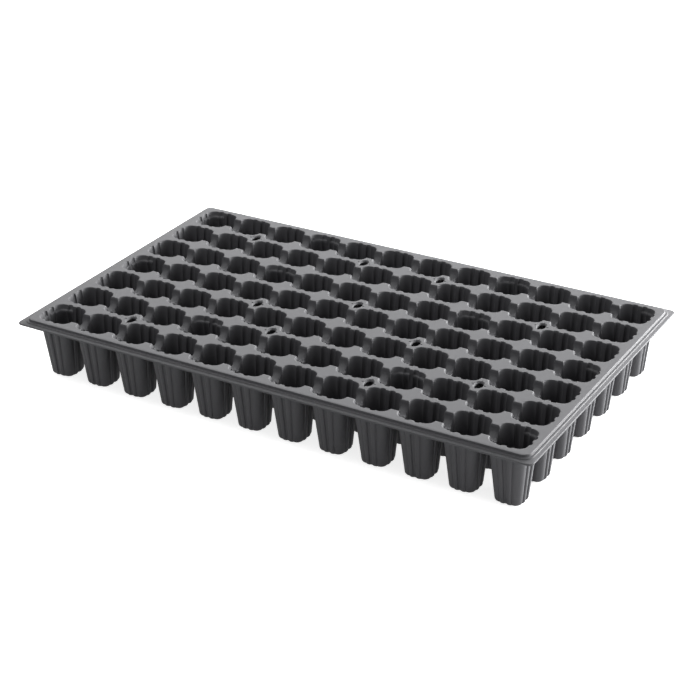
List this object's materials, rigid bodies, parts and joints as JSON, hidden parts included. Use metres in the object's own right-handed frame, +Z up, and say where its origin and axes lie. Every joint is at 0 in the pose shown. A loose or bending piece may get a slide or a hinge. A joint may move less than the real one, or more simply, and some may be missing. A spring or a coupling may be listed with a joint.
{
  "type": "plug tray",
  "caption": "Vacuum-formed nursery plug tray: a flat top sheet with a grid of deep fluted tapering cells, drain holes, saddles, vents and a stepped rim.",
  "frame": {"origin": "centre of the tray's outline, on the surface the cell floors stand on", "axes": "+X along the length, +Y across the width to the back, +Z up"},
  "size_m": [0.53, 0.317, 0.06],
  "materials": {
    "black_sheet": "satin, vacuum formed"
  },
  "bodies": {
    "root": {"deck_long_sides": "black_sheet", "deck_ends": "black_sheet", "deck_islands": "black_sheet", "deck_vents": "black_sheet", "deck_necks": "black_sheet", "wall_long_sides": "black_sheet", "wall_ends": "black_sheet", "shoulder_long_sides": "black_sheet", "shoulder_ends": "black_sheet", "lip_long_sides": "black_sheet", "lip_ends": "black_sheet", "saddles": "black_sheet", "cells_row_1": "black_sheet", "cells_row_2": "black_sheet", "cells_row_3": "black_sheet", "cells_row_4": "black_sheet", "cells_row_5": "black_sheet", "cells_row_6": "black_sheet", "cells_row_7": "black_sheet"}
  },
  "joints": []
}
